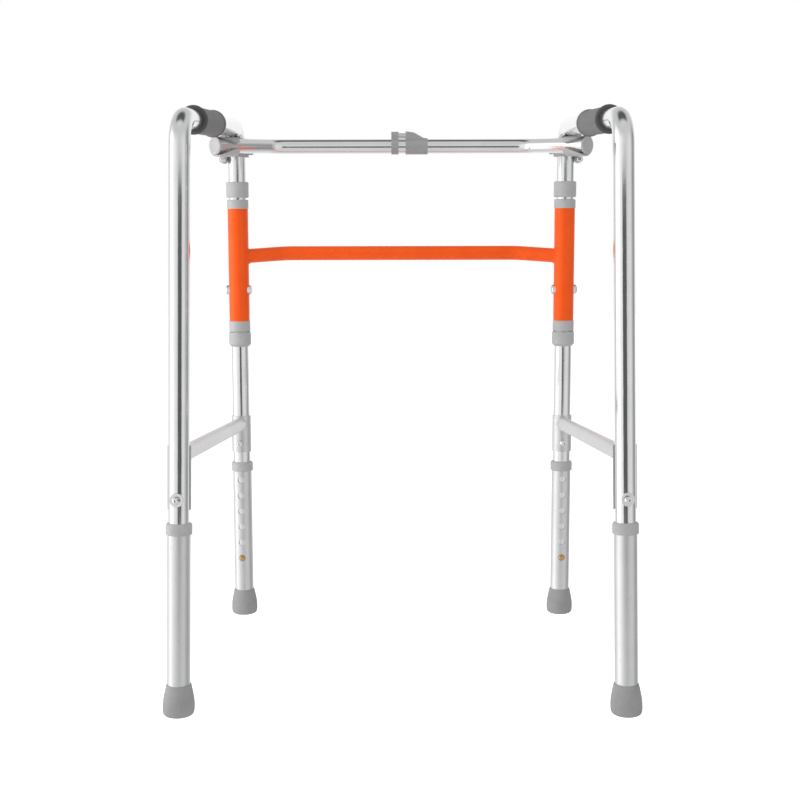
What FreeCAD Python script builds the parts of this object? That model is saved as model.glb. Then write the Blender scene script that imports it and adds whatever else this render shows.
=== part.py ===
# Folding walking frame: two hinged side frames, a front frame of two crossbars, four telescopic legs.
# Millimetres. +Z up, +Y towards the front crossbars, +X to the user's right, origin on the floor
# at the middle of the footprint. The sizes live in the sheet "Dims".
import FreeCAD, Part
import math
import os

import Sketcher

V = FreeCAD.Vector
doc = FreeCAD.newDocument("WalkingFrame")
sheet = doc.addObject("Spreadsheet::Sheet", "Dims")

DIMS = [
    ("half_spacing", 241.0), ("front_leg_y", 203.6), ("rear_foot_x", 271.3), ("rear_foot_y", -223.3),
    ("rear_top_x", 258.4), ("rear_top_y", -196.4), ("rear_top_z", 700.0),
    ("handle_front_z", 728.5), ("handle_rear_z", 711.9), ("bend_front", 30.0), ("bend_rear", 34.0),
    ("tube_radius", 12.7), ("tube_bore", 11.3), ("tube_end_z", 70.0),
    ("outer_radius", 14.0), ("outer_bore", 13.0), ("outer_bottom", 9.6), ("outer_top", 229.8),
    ("button_z", 88.0), ("hole_pitch", 24.0), ("hole_count", 6), ("outer_hole_radius", 4.75),
    ("inner_hole_radius", 4.5), ("button_radius", 4.3), ("button_tip", 16.4), ("button_flange", 5.4),
    ("running_gap", 0.05),
    ("collar_radius", 16.0), ("collar_bottom", 221.0), ("collar_top", 235.0),
    ("foot_top_radius", 15.2), ("foot_radius", 19.4), ("foot_height", 38.0), ("foot_floor", 8.0),
    ("grip_radius", 16.0), ("grip_flange", 18.6), ("grip_flange_width", 5.0),
    ("grip_start", 186.0), ("grip_end", 320.0),
    ("ring_radius", 16.4), ("upper_ring_low", 628.2), ("upper_ring_high", 651.0),
    ("lower_ring_low", 409.0), ("lower_ring_high", 430.6),
    ("sleeve_radius", 15.0), ("sleeve_bore", 13.6), ("sleeve_low", 447.0), ("sleeve_high", 612.0),
    ("bush_radius", 15.7), ("bush_spigot", 18.0), ("top_bush_high", 625.2), ("bottom_bush_low", 431.2),
    ("stud_z", 493.0), ("stud_radius", 7.2), ("stud_height", 4.6),
    ("bar_radius", 10.5), ("bar_bore", 9.3), ("bar_bend", 38.0),
    ("crossbar_z", 703.6), ("crossbar_bow", 24.0), ("crossbar_tilt", 2.7), ("arm_angle", 50.0),
    ("arm_offset", 26.5), ("arm_length", 64.6),
    ("ear_radius", 15.2), ("ear_start", 30.6), ("ear_tip", 38.0), ("ear_gap", 4.3), ("ear_top", 712.4),
    ("spine_radius", 12.4),
    ("cap_radius", 12.0), ("cap_thickness", 3.0), ("cap_plug", 12.0),
    ("knuckle_low", 687.0), ("knuckle_high", 694.9), ("knuckle_radius", 17.6),
    ("cheek_width", 27.0), ("cheek_high", 725.0), ("hinge_bolt_z", 683.3), ("hinge_bolt_out", 18.8),
    ("lower_bar_z", 542.0), ("lower_bar_bow", 24.0), ("lower_bar_tilt", 10.6), ("lower_bar_bend", 60.0),
    ("lower_bar_corner", 172.0),
    ("ring_end", -3.8), ("release_width", 10.7), ("release_radius", 11.8), ("rod_radius", 4.0),
    ("rod_height", 15.2), ("slider_start", 6.6), ("slider_length", 32.6), ("slider_travel", 8.0),
    ("brace_radius", 10.0), ("brace_bore", 8.8), ("brace_front_z", 292.0), ("brace_rear_z", 315.0),
    ("saddle_thickness", 1.9), ("bolt_z", 264.0), ("bolt_radius", 3.0), ("bolt_head", 4.9),
    ("bolt_head_height", 3.4), ("washer_radius", 8.4), ("nut_flats", 10.0), ("nut_height", 5.0),
]


class Size:
    # a number kept together with the sheet expression that gives it
    def __init__(self, value, text=None):
        self.value = float(value)
        self.text = text or "%.6g" % value

    def join(self, other, sign, value):
        return Size(value, "(%s %s %s)" % (self.text, sign, other.text))

    def __add__(self, other):
        other = size(other)
        return self.join(other, "+", self.value + other.value)

    def __sub__(self, other):
        other = size(other)
        return self.join(other, "-", self.value - other.value)

    def __mul__(self, other):
        other = size(other)
        return self.join(other, "*", self.value * other.value)

    def __neg__(self):
        return Size(-self.value, "(0 - %s)" % self.text)


def size(x):
    return x if isinstance(x, Size) else Size(x)


D = {}
for row, (alias, value) in enumerate(DIMS, start=1):
    sheet.set("A%d" % row, alias)
    sheet.set("B%d" % row, "%g" % value)
    sheet.setAlias("B%d" % row, alias)
    D[alias] = Size(value, "Dims." + alias)
doc.recompute()


def n(alias):
    return D[alias].value


subparts = []


def finish(obj, label, place=None):
    obj.Label = label
    if place is not None:
        obj.Placement = place
    subparts.append(obj)
    return obj


def new_body(name):
    return doc.addObject("PartDesign::Body", name)


def sketch_in(body, role, name):
    sk = body.newObject("Sketcher::SketchObject", name)
    plane = [f for f in body.Origin.OriginFeatures if f.Role == role][0]
    sk.AttachmentSupport = [(plane, "")]
    sk.MapMode = "FlatFace"
    return sk


def pin_point(sk, geo, pos, x, y):
    # hold a sketch point at sheet-driven coordinates
    for kind, value, axis in (("DistanceX", x, -2), ("DistanceY", y, -1)):
        value = size(value)
        if abs(value.value) < 1e-9:
            sk.addConstraint(Sketcher.Constraint("PointOnObject", geo, pos, axis))
            continue
        at = sk.addConstraint(Sketcher.Constraint(kind, -1, 1, geo, pos, value.value))
        if "Dims." in value.text:
            sk.setExpression("Constraints[%d]" % at, value.text)


def polygon(sk, points):
    first, count = sk.GeometryCount, len(points)
    for i in range(count):
        a, b = points[i], points[(i + 1) % count]
        sk.addGeometry(Part.LineSegment(V(size(a[0]).value, size(a[1]).value, 0),
                                        V(size(b[0]).value, size(b[1]).value, 0)), False)
    for i in range(count):
        sk.addConstraint(Sketcher.Constraint("Coincident", first + i, 2, first + (i + 1) % count, 1))
        pin_point(sk, first + i, 1, *points[i])


def circle(sk, x, y, radius):
    radius = size(radius)
    at = sk.addGeometry(Part.Circle(V(size(x).value, size(y).value, 0), V(0, 0, 1), radius.value), False)
    pin_point(sk, at, 3, x, y)
    c = sk.addConstraint(Sketcher.Constraint("Radius", at, radius.value))
    if "Dims." in radius.text:
        sk.setExpression("Constraints[%d]" % c, radius.text)


def revolved(name, points):
    # a body turned about its own Z axis from a profile of (radius, height) points
    body = new_body(name)
    sk = sketch_in(body, "XZ_Plane", name + "_profile")
    polygon(sk, points)
    turn = body.newObject("PartDesign::Revolution", name + "_turn")
    turn.Profile = sk
    turn.ReferenceAxis = (sk, ["V_Axis"])
    turn.Angle = 360.0
    sk.Visibility = False
    return body


def cylinder(name, radius, height, place=None):
    obj = doc.addObject("Part::Cylinder", name)
    obj.setExpression("Radius", size(radius).text)
    obj.setExpression("Height", size(height).text)
    if place is not None:
        obj.Placement = place
    return obj


def box(name, low, high, place=None):
    obj = doc.addObject("Part::Box", name)
    obj.Length, obj.Width, obj.Height = (high - low)
    local = FreeCAD.Placement(low, FreeCAD.Rotation())
    obj.Placement = local if place is None else place.multiply(local)
    return obj


def cut(name, base, tool):
    obj = doc.addObject("Part::Cut", name)
    obj.Base, obj.Tool = base, tool
    return obj


def fuse(name, shapes):
    obj = doc.addObject("Part::MultiFuse", name)
    obj.Shapes = shapes
    return obj


def compound(name, shapes):
    obj = doc.addObject("Part::Compound", name)
    obj.Links = shapes
    return obj


def along(point, direction, back=None):
    # a frame whose Z axis runs along direction, and whose -Y axis faces back
    z = V(direction).normalize()
    back = back or (V(0, -1, 0) if abs(z.y) < 0.9 else V(0, 0, 1))
    y = (z * back.dot(z) - back).normalize()
    return FreeCAD.Placement(point, FreeCAD.Rotation(y.cross(z), y, z, "ZYX"))


def polar(radius, degrees):
    return V(radius * math.cos(math.radians(degrees)), radius * math.sin(math.radians(degrees)), 0)


# ---- where the tubes run -------------------------------------------------------------------------

def rear_axis(s):
    foot = V(s * n("rear_foot_x"), n("rear_foot_y"), 0)
    top = V(s * n("rear_top_x"), n("rear_top_y"), n("rear_top_z"))
    return foot, (top - foot).normalize()


def front_foot(s):
    return V(s * n("half_spacing"), n("front_leg_y"), 0)


def leg_frame(s, end):
    # the frame of a leg: Z up the tube, -Y towards the leg's row of holes
    rear, up = rear_axis(s)
    front = front_foot(s)
    if end == "front":
        return along(front, V(0, 0, 1), rear - front)
    return along(rear, up, front - rear)


def handle_line(s):
    foot, up = rear_axis(s)
    a = front_foot(s) + V(0, 0, n("handle_front_z"))
    b = foot + up * (n("handle_rear_z") / up.z)
    return a, b


def on_leg(frame, z):
    return frame.multVec(V(0, 0, z))


def bent_path(points, radii):
    # straight runs joined by tangent arcs
    edges, start = [], points[0]
    for i, radius in enumerate(radii, start=1):
        p = points[i]
        u = (points[i - 1] - p).normalize()
        w = (points[i + 1] - p).normalize()
        half = u.getAngle(w) / 2
        reach = radius / math.tan(half)
        centre = p + (u + w).normalize() * (radius / math.sin(half))
        middle = centre + (p - centre).normalize() * radius
        edges.append(Part.makeLine(start, p + u * reach))
        edges.append(Part.Arc(p + u * reach, middle, p + w * reach).toShape())
        start = p + w * reach
    edges.append(Part.makeLine(start, points[-1]))
    return Part.Wire(edges)


def swept(path, radius):
    start = path.Edges[0].Vertexes[0].Point
    heading = path.Edges[0].tangentAt(path.Edges[0].FirstParameter)
    ring = Part.Wire(Part.makeCircle(radius, start, heading))
    return path.makePipeShell([ring], True, False)


# ---- side frames ---------------------------------------------------------------------------------

def side_tube(s, label):
    # one tube: front leg, handle and splayed rear leg, out of one plane
    front, rear = leg_frame(s, "front"), leg_frame(s, "rear")
    a, b = handle_line(s)
    points = [on_leg(front, n("tube_end_z")), a, b, on_leg(rear, n("tube_end_z"))]
    path = bent_path(points, [n("bend_front"), n("bend_rear")])
    tube = swept(path, n("tube_radius")).cut(swept(path, n("tube_bore")))
    for frame in (front, rear):
        snap = Part.makeCylinder(n("inner_hole_radius"), 30, V(0, 0, n("button_z")), V(0, -1, 0))
        bolt = Part.makeCylinder(n("bolt_radius") + 0.15, 60, V(0, 30, n("bolt_z")), V(0, -1, 0))
        for tool in (snap, bolt):
            tool.Placement = frame.multiply(tool.Placement)
            tube = tube.cut(tool)
    obj = doc.addObject("Part::Feature", label)
    obj.Shape = tube
    return finish(obj, label, FreeCAD.Placement())


def grip(s, label):
    r, f, w = D["grip_radius"], D["grip_flange"], D["grip_flange_width"]
    a, b, bore = D["grip_start"], D["grip_end"], D["tube_radius"] + D["running_gap"]
    body = revolved(label + "_body", [
        (bore, a), (f - 1.6, a), (f, a + 1.4), (f, a + w - 1.4), (f - 1.4, a + w), (r, a + w + 1.0),
        (r, b - w - 1.0), (f - 1.4, b - w), (f, b - w + 1.4), (f, b - 1.4), (f - 1.6, b), (bore, b)])
    start, end = handle_line(s)
    return finish(body, label, along(start, end - start, V(0, 0, -1)))


def leg_ring(s, label, low, high, soft):
    r, bore = D["ring_radius"], D["tube_radius"] + D["running_gap"]
    body = revolved(label + "_body", [
        (bore, low), (r - soft, low), (r, low + soft), (r, high - 1.2), (r - 1.2, high), (bore, high)])
    return finish(body, label, leg_frame(s, "front"))


def brace(s, label):
    # a round tube whose ends are pressed into half saddles that hug the two legs
    front, rear = leg_frame(s, "front"), leg_frame(s, "rear")
    a, b = on_leg(front, n("brace_front_z")), on_leg(rear, n("brace_rear_z"))
    heading = (b - a).normalize()
    place = along(a, heading, V(0, 0, -1))
    length = (b - a).Length
    rod = cylinder(label + "_rod", D["brace_radius"], length, place)
    pieces = [rod]
    for name, frame, z in (("f", front, n("brace_front_z")), ("r", rear, n("brace_rear_z"))):
        low, high = n("bolt_z") - 13.5, z + 13.0
        shell = cylinder(label + "_shell_" + name, D["tube_radius"] + D["saddle_thickness"], high - low,
                         frame.multiply(FreeCAD.Placement(V(0, 0, low), FreeCAD.Rotation())))
        back = box(label + "_back_" + name, V(-30, -1.5, low - 5), V(30, 40, high + 5), frame)
        pieces.append(cut(label + "_saddle_" + name, shell, back))
    whole = fuse(label + "_whole", pieces)
    tools = [cylinder(label + "_bore", D["brace_bore"], length - 36,
                      along(a + heading * 18, heading, V(0, 0, -1)))]
    for name, frame in (("f", front), ("r", rear)):
        tools.append(cylinder(label + "_leg_" + name, D["tube_radius"] + D["running_gap"], 500, frame))
        tools.append(cylinder(label + "_hole_" + name, D["bolt_radius"] + 0.15, 40,
                              frame.multiply(along(V(0, 0, n("bolt_z")), V(0, -1, 0), V(0, 0, 1)))))
    return finish(cut(label, whole, fuse(label + "_tools", tools)), label)


def socket_bolt(name, length):
    # a dome-headed bolt along Z, the head's seat at zero and the shank running down
    r, head, h = D["bolt_radius"], D["bolt_head"], D["bolt_head_height"]
    body = revolved(name, [
        (0, -length), (r - 0.5, -length), (r, Size(0.5) - length), (r, 0), (head, 0), (head, h * 0.35),
        (head * 0.8, h * 0.8), (head * 0.5, h), (0, h)])
    sk = sketch_in(body, "XY_Plane", name + "_hexagon")
    corners = [polar(2.0 / math.cos(math.pi / 6), 60 * i) for i in range(6)]
    polygon(sk, [(c.x, c.y) for c in corners])
    sk.AttachmentOffset = FreeCAD.Placement(V(0, 0, h.value), FreeCAD.Rotation())
    socket = body.newObject("PartDesign::Pocket", name + "_socket")
    socket.Profile = sk
    socket.Length = 2.2
    return body


def nut(name):
    body = new_body(name)
    sk = sketch_in(body, "XY_Plane", name + "_outline")
    corners = [polar(n("nut_flats") / 2 / math.cos(math.pi / 6), 60 * i) for i in range(6)]
    polygon(sk, [(c.x, c.y) for c in corners])
    circle(sk, 0, 0, D["bolt_radius"] + D["running_gap"])
    pad = body.newObject("PartDesign::Pad", name + "_pad")
    pad.Profile = sk
    pad.setExpression("Length", "Dims.nut_height")
    return body


def brace_fasteners(s, side):
    front, rear = leg_frame(s, "front"), leg_frame(s, "rear")
    outside = n("tube_radius") + n("saddle_thickness")
    washer = 1.4
    seats = (("front", front, V(0, -1, 0), outside + 0.05, n("tube_radius") + 0.1),
             ("rear", rear, V(0, 1, 0), n("tube_radius") + washer + 0.05, outside + 0.1))
    bolts, nuts = [], []
    for name, frame, face, seat, far in seats:
        bolt = socket_bolt("%s_%s_brace_bolt" % (side, name), Size(seat + far + n("nut_height") + 1.0))
        bolt.Placement = frame.multiply(along(V(0, 0, n("bolt_z")) + face * seat, face, V(0, 0, 1)))
        piece = nut("%s_%s_brace_nut" % (side, name))
        piece.Placement = frame.multiply(along(V(0, 0, n("bolt_z")) - face * far, face * -1, V(0, 0, 1)))
        bolts.append(bolt)
        nuts.append(piece)
    finish(compound(side + "_brace_bolts", bolts), side + "_brace_bolts")
    finish(compound(side + "_brace_nuts", nuts), side + "_brace_nuts")
    ring = revolved(side + "_washer_body", [
        (D["bolt_radius"] + 0.1, 0), (D["washer_radius"], 0), (D["washer_radius"], washer - 0.3),
        (D["washer_radius"] - 0.3, washer), (D["bolt_radius"] + 0.1, washer)])
    place = rear.multiply(along(V(0, n("tube_radius") + 0.02, n("bolt_z")), V(0, 1, 0), V(0, 0, 1)))
    finish(ring, side + "_brace_washer", place)


def snap_spring(s, side):
    # a leaf folded into a V inside each leg end, carrying the snap button on one arm
    springs = []
    for end in ("front", "rear"):
        name = "%s_%s_spring" % (side, end)
        body = new_body(name)
        sk = sketch_in(body, "YZ_Plane", name + "_leaf")
        z, k = D["button_z"], 0.7
        polygon(sk, [
            (-8.5, z + 7.0), (-8.5, z - 8.0), (-1.0, z - 17.0), (1.0, z - 17.0), (10.2, z + 4.0),
            (10.2 - k, z + 4.0), (0.5, Size(k * 1.2 - 17.0) + z), (-0.5, Size(k * 1.2 - 17.0) + z),
            (-8.5 + k, z - 7.6), (-8.5 + k, z + 7.0)])
        pad = body.newObject("PartDesign::Pad", name + "_pad")
        pad.Profile = sk
        pad.Length = 7.0
        pad.Midplane = True
        body.Placement = leg_frame(s, end)
        springs.append(body)
    finish(compound(side + "_snap_springs", springs), side + "_snap_springs")


# ---- telescopic legs -----------------------------------------------------------------------------

def outer_tube(s, end, label):
    body = revolved(label + "_body", [
        (D["outer_bore"], D["outer_bottom"]), (D["outer_radius"], D["outer_bottom"]),
        (D["outer_radius"], D["outer_top"]), (D["outer_bore"], D["outer_top"])])
    sk = sketch_in(body, "XZ_Plane", label + "_hole_row")
    for i in range(int(n("hole_count"))):
        circle(sk, 0, D["button_z"] + D["hole_pitch"] * i, D["outer_hole_radius"])
    holes = body.newObject("PartDesign::Pocket", label + "_holes")
    holes.Profile = sk
    holes.Length = 25.0
    holes.Reversed = True
    return finish(body, label, leg_frame(s, end))


def leg_collar(s, end, label):
    gap = D["running_gap"]
    lip, skirt, r = D["tube_radius"] + gap, D["outer_radius"] + gap, D["collar_radius"]
    low, high = D["collar_bottom"], D["collar_top"]
    body = revolved(label + "_body", [
        (skirt, low), (r - 0.5, low), (r, low + 0.5), (r, high - 2.5), (r - 0.8, high - 1.0),
        (r - 2.0, high), (lip, high), (lip, D["outer_top"] + 0.1), (skirt, D["outer_top"] + 0.1)])
    return finish(body, label, leg_frame(s, end))


def foot(s, end, label):
    # a tapered cap in line with its leg, cut off level with the floor
    r, top, h = D["foot_radius"], D["foot_top_radius"], D["foot_height"]
    outer = revolved(label + "_outer", [
        (0, -2.0), (r - 6.0, -2.0), (r - 3.6, -0.2), (r - 1.5, 1.0), (r - 0.6, 2.8), (r - 0.1, 6.0), (r, 10.5),
        (r - 0.2, 15.0), (r - 0.9, 21.0), (r - 2.0, 27.0), (r - 3.3, 33.0), (top, h - 1.2),
        (top - 0.4, h - 0.4), (top - 0.9, h), (0, h)])
    frame = leg_frame(s, end)
    outer.Placement = frame
    tool = cylinder(label + "_socket", D["outer_radius"] + D["running_gap"], 60,
                    frame.multiply(FreeCAD.Placement(V(0, 0, n("foot_floor")), FreeCAD.Rotation())))
    under = box(label + "_floor", frame.Base + V(-40, -40, -20), frame.Base + V(40, 40, 0))
    return finish(cut(label, outer, fuse(label + "_tools", [tool, under])), label)


def foot_disc(s, end, label):
    z = D["foot_floor"] + 0.02
    body = revolved(label + "_body", [
        (0, z), (D["outer_radius"] - 0.3, z), (D["outer_radius"] - 0.3, z + 1.5), (0, z + 1.5)])
    return finish(body, label, leg_frame(s, end))


def snap_button(s, end, label):
    r, flange, tip = D["button_radius"], D["button_flange"], D["button_tip"]
    body = revolved(label + "_body", [
        (0, 8.6), (flange, 8.6), (flange, 9.3), (r, 9.3), (r, tip - 2.6), (r * 0.93, tip - 1.5),
        (r * 0.7, tip - 0.6), (r * 0.35, tip - 0.1), (0, tip)])
    place = leg_frame(s, end).multiply(along(V(0, 0, n("button_z")), V(0, -1, 0), V(0, 0, 1)))
    return finish(body, label, place)


# ---- front frame ---------------------------------------------------------------------------------

def arm_frame(s):
    # the hinge arm's axis passes the leg on the user's side: Z runs outwards and back along the arm
    angle, leg = n("arm_angle"), front_foot(s)
    out = V(s * math.cos(math.radians(angle)), -math.sin(math.radians(angle)), 0)
    nearest = V(-s * math.sin(math.radians(angle)), -math.cos(math.radians(angle)), 0) * n("arm_offset")
    return leg + nearest, out


def tilted(point):
    # the crossbar's plane rises gently towards the front
    rise = math.tan(math.radians(n("crossbar_tilt")))
    bow_y = n("front_leg_y") + n("crossbar_bow")
    return V(point.x, point.y, n("crossbar_z") + (point.y - bow_y) * rise)


def crossbar_points(s, reach):
    near, out = arm_frame(s)
    bow_y = n("front_leg_y") + n("crossbar_bow")
    corner = near + out * ((bow_y - near.y) / out.y)
    return tilted(corner), tilted(near + out * reach)


def bent_bar(label, points, bend, radius, bore):
    path = bent_path(points, [bend] * (len(points) - 2))
    tube = swept(path, radius).cut(swept(path, bore))
    obj = doc.addObject("Part::Feature", label)
    obj.Shape = tube
    return obj


def upper_crossbar():
    left, right = crossbar_points(-1, n("arm_length")), crossbar_points(1, n("arm_length"))
    bar = bent_bar("upper_crossbar", [left[1], left[0], right[0], right[1]], n("bar_bend"),
                   n("bar_radius"), n("bar_bore"))
    return finish(bar, "upper_crossbar", FreeCAD.Placement())


def lower_crossbar():
    rise = math.tan(math.radians(n("lower_bar_tilt"))) * n("lower_bar_bow")
    y, z, c = n("front_leg_y"), n("lower_bar_z"), n("lower_bar_corner")
    bow = y + n("lower_bar_bow")
    points = [V(-n("half_spacing"), y, z), V(-c, bow, z + rise), V(c, bow, z + rise),
              V(n("half_spacing"), y, z)]
    bar = bent_bar("lower_bar_tube", points, n("lower_bar_bend"), n("bar_radius"), n("bar_bore"))
    tools = [cylinder("lower_bar_trim_" + k, D["sleeve_radius"] + 0.02, 100,
                      FreeCAD.Placement(V(s * n("half_spacing"), y, z - 50), FreeCAD.Rotation()))
             for k, s in (("l", -1), ("r", 1))]
    return finish(cut("lower_crossbar", bar, fuse("lower_bar_trims", tools)), "lower_crossbar")


def sleeve(s, label):
    body = revolved(label + "_body", [
        (D["sleeve_bore"], D["sleeve_low"]), (D["sleeve_radius"], D["sleeve_low"]),
        (D["sleeve_radius"], D["sleeve_high"]), (D["sleeve_bore"], D["sleeve_high"])])
    frame = leg_frame(s, "front")
    tools = [cylinder("%s_stud_hole_%d" % (label, k), 2.6, 30,
                      frame.multiply(along(V(0, 0, n("stud_z")), V(k, 0, 0), V(0, 0, 1)))) for k in (-1, 1)]
    body.Placement = frame
    return finish(cut(label, body, fuse(label + "_holes", tools)), label)


def bushes(label, low, high, spigot):
    # a flanged plastic bush in each sleeve end, running on the leg
    pieces = []
    bore, r = D["tube_radius"] + D["running_gap"], D["bush_radius"]
    inner = D["sleeve_bore"] - D["running_gap"]
    for side, s in (("left", -1), ("right", 1)):
        if spigot < 0:
            points = [(bore, low - D["bush_spigot"]), (inner, low - D["bush_spigot"]), (inner, low),
                      (r, low), (r, high - 1.0), (r - 1.0, high), (bore, high)]
        else:
            points = [(bore, low), (r - 1.0, low), (r, low + 1.0), (r, high), (inner, high),
                      (inner, high + D["bush_spigot"]), (bore, high + D["bush_spigot"])]
        body = revolved("%s_%s" % (side, label[:-2]), points)
        body.Placement = leg_frame(s, "front")
        pieces.append(body)
    finish(compound(label, pieces), label)


def sleeve_studs():
    # two domed studs through each sleeve wall, their heads saddled on the round
    pieces = []
    for side, s in (("left", -1), ("right", 1)):
        frame = leg_frame(s, "front")
        for k in (-1, 1):
            name = "%s_stud_%s" % (side, "in" if k * s < 0 else "out")
            r, base = D["stud_radius"], D["sleeve_radius"]
            h = base + D["stud_height"]
            head = revolved(name + "_head", [
                (0, base - 3.0), (r, base - 3.0), (r, h - 2.4), (r * 0.86, h - 1.1),
                (r * 0.6, h - 0.3), (0, h)])
            place = frame.multiply(along(V(0, 0, n("stud_z")), V(k, 0, 0), V(0, 0, 1)))
            head.Placement = place
            low = FreeCAD.Placement(V(0, 0, n("stud_z") - 30), FreeCAD.Rotation())
            round_off = cylinder(name + "_round", base + 0.02, 60, frame.multiply(low))
            shank = cylinder(name + "_shank", 2.5, 2.6,
                             place.multiply(FreeCAD.Placement(V(0, 0, 13.7), FreeCAD.Rotation())))
            pieces.append(fuse(name, [cut(name + "_saddled", head, round_off), shank]))
    finish(compound("sleeve_studs", pieces), "sleeve_studs")


def hinge_block(s, side):
    # a knuckle round the leg below the bend, an outer cheek, and a spine that carries the crossbar's end
    # between two pointed ears
    label = side + "_hinge_block"
    near, out = arm_frame(s)
    leg = front_foot(s)
    a, b = tilted(near), tilted(near + out * n("arm_length"))
    axis = (b - a).normalize()
    arm = along(a, axis, V(0, 0, -1))

    def up_the_arm(t):
        return arm.multiply(FreeCAD.Placement(V(0, 0, t), FreeCAD.Rotation()))

    spine = cylinder(label + "_spine", D["spine_radius"], n("ear_start") + 12.0, up_the_arm(-9.0))
    half = box(label + "_spine_front", V(-1.5 if s < 0 else -30, -30, -40),
               V(30 if s < 0 else 1.5, 30, 60), arm)
    back = cut(label + "_spine_back", spine, half)
    ears = cylinder(label + "_ears", D["ear_radius"], n("arm_length") - 1.0 - n("ear_start"),
                    up_the_arm(n("ear_start")))
    mouth = new_body(label + "_mouth")
    sk = sketch_in(mouth, "YZ_Plane", label + "_mouth_side")
    gap, tip, end = D["ear_gap"], D["ear_tip"], D["arm_length"]
    polygon(sk, [(gap, tip - 20.0), (gap, tip), (gap + 8.6, end), (-(gap + 8.6), end), (-gap, tip),
                 (-gap, tip - 20.0)])
    pad = mouth.newObject("PartDesign::Pad", label + "_mouth_pad")
    pad.Profile = sk
    pad.Length = 30.0
    pad.Reversed = s > 0
    mouth.Placement = arm
    knuckle = cylinder(label + "_knuckle", D["knuckle_radius"], D["knuckle_high"] - D["knuckle_low"],
                       FreeCAD.Placement(leg + V(0, 0, n("knuckle_low")), FreeCAD.Rotation()))
    w, high = D["cheek_width"], D["cheek_high"]
    low = D["knuckle_low"] - 1.6
    cheek = new_body(label + "_cheek")
    sk = sketch_in(cheek, "XZ_Plane", label + "_cheek_side")
    side_points = [(Size(13.4), low), (w - 6.0, low), (w, low + 7.0), (w, low + 21.0), (w - 8.0, high - 3.0),
                   (Size(13.4), high)]
    polygon(sk, [(x if s > 0 else -x, z) for x, z in side_points])
    pad = cheek.newObject("PartDesign::Pad", label + "_cheek_pad")
    pad.Profile = sk
    pad.Length = 20.0
    pad.Midplane = True
    cheek.Placement = FreeCAD.Placement(leg + V(0, -0.9, 0), FreeCAD.Rotation())
    lug = cylinder(label + "_lug", 5.5, 20.0, along(
        leg + V(s * n("hinge_bolt_out"), 9.0, n("hinge_bolt_z")), V(0, -1, 0), V(0, 0, 1)))
    web = box(label + "_web", V(-17.0, -5.5, 8.0), V(-11.0, 5.5, 36.0),
              arm if s < 0 else arm.multiply(FreeCAD.Placement(V(28.0, 0, 0), FreeCAD.Rotation())))
    # room for the handle's bend, which swings round the leg above the spine and ears
    base, top = D["handle_front_z"] - 31.8, D["ear_top"]
    room = revolved(label + "_handle_room", [
        (12.0, base), (13.4, base), (14.0, base + 4.4), (16.0, base + 8.9), (18.0, base + 11.5),
        (21.0, base + 13.9), (24.0, top), (80.0, top), (80.0, top + 60.0), (12.0, top + 60.0)])
    room.Placement = FreeCAD.Placement(leg, FreeCAD.Rotation())
    arm_side = cut(label + "_arm_side", fuse(label + "_arm_pieces", [
        back, cut(label + "_open_ears", ears, mouth), web]), room)
    whole = fuse(label + "_whole", [arm_side, knuckle, lug, cheek])
    tools = [
        cylinder(label + "_bar_bore", D["bar_radius"] + 0.02, n("arm_length") + 60.0, up_the_arm(-35.0)),
        cylinder(label + "_bore", D["tube_radius"] + D["running_gap"], 200,
                 FreeCAD.Placement(leg + V(0, 0, 600), FreeCAD.Rotation())),
        cylinder(label + "_bolt_hole", D["bolt_radius"] + 0.1, 60, along(
            leg + V(s * n("hinge_bolt_out"), 30, n("hinge_bolt_z")), V(0, -1, 0), V(0, 0, 1)))]
    return finish(cut(label, whole, fuse(label + "_tools", tools)), label)


def hinge_cap(s, side):
    # a disc that closes the crossbar's end, with a plug inside the tube
    near, out = arm_frame(s)
    a, b = tilted(near), tilted(near + out * n("arm_length"))
    r, t, plug = D["cap_radius"], D["cap_thickness"], D["bar_bore"] - D["running_gap"]
    length = D["cap_plug"]
    body = revolved(side + "_cap_body", [
        (0, -length), (plug - 0.8, -length), (plug, Size(0.8) - length), (plug, 0.05), (r, 0.05),
        (r, t - 0.8), (r - 0.8, t), (0, t)])
    return finish(body, side + "_hinge_cap", along(b, (b - a).normalize(), V(0, 0, -1)))


def hinge_bolts():
    pieces = []
    for side, s in (("left", -1), ("right", 1)):
        bolt = socket_bolt(side + "_hinge_bolt", Size(22.0))
        at = front_foot(s) + V(s * n("hinge_bolt_out"), -11.05, n("hinge_bolt_z"))
        bolt.Placement = along(at, V(0, -1, 0), V(0, 0, 1))
        pieces.append(bolt)
    finish(compound("hinge_bolts", pieces), "hinge_bolts")


def bar_axis(x):
    return V(x, n("front_leg_y") + n("crossbar_bow"), n("crossbar_z"))


def release_collar():
    # a fixed ring on the crossbar with a lug above it that holds the guide rod
    w = n("release_width")
    start = n("ring_end") - w
    turn = FreeCAD.Rotation(V(0, 0, 1), V(1, 0, 0))
    ring = cylinder("release_ring", D["release_radius"], w, FreeCAD.Placement(bar_axis(start), turn))
    lug = cylinder("release_lug", D["rod_radius"] + 2.2, w,
                   FreeCAD.Placement(bar_axis(start) + V(0, 0, n("rod_height")), turn))
    web = box("release_web", bar_axis(start) + V(0, -6.0, 0),
              bar_axis(start + w) + V(0, 6.0, n("rod_height")))
    tools = [cylinder("release_bar_bore", D["bar_radius"] + 0.02, 60,
                      FreeCAD.Placement(bar_axis(start - 20), turn)),
             cylinder("release_rod_bore", D["rod_radius"] + 0.02, 60,
                      FreeCAD.Placement(bar_axis(start + 2.0) + V(0, 0, n("rod_height")), turn))]
    finish(cut("release_collar", fuse("release_collar_whole", [ring, lug, web]),
               fuse("release_collar_tools", tools)), "release_collar")


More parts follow.
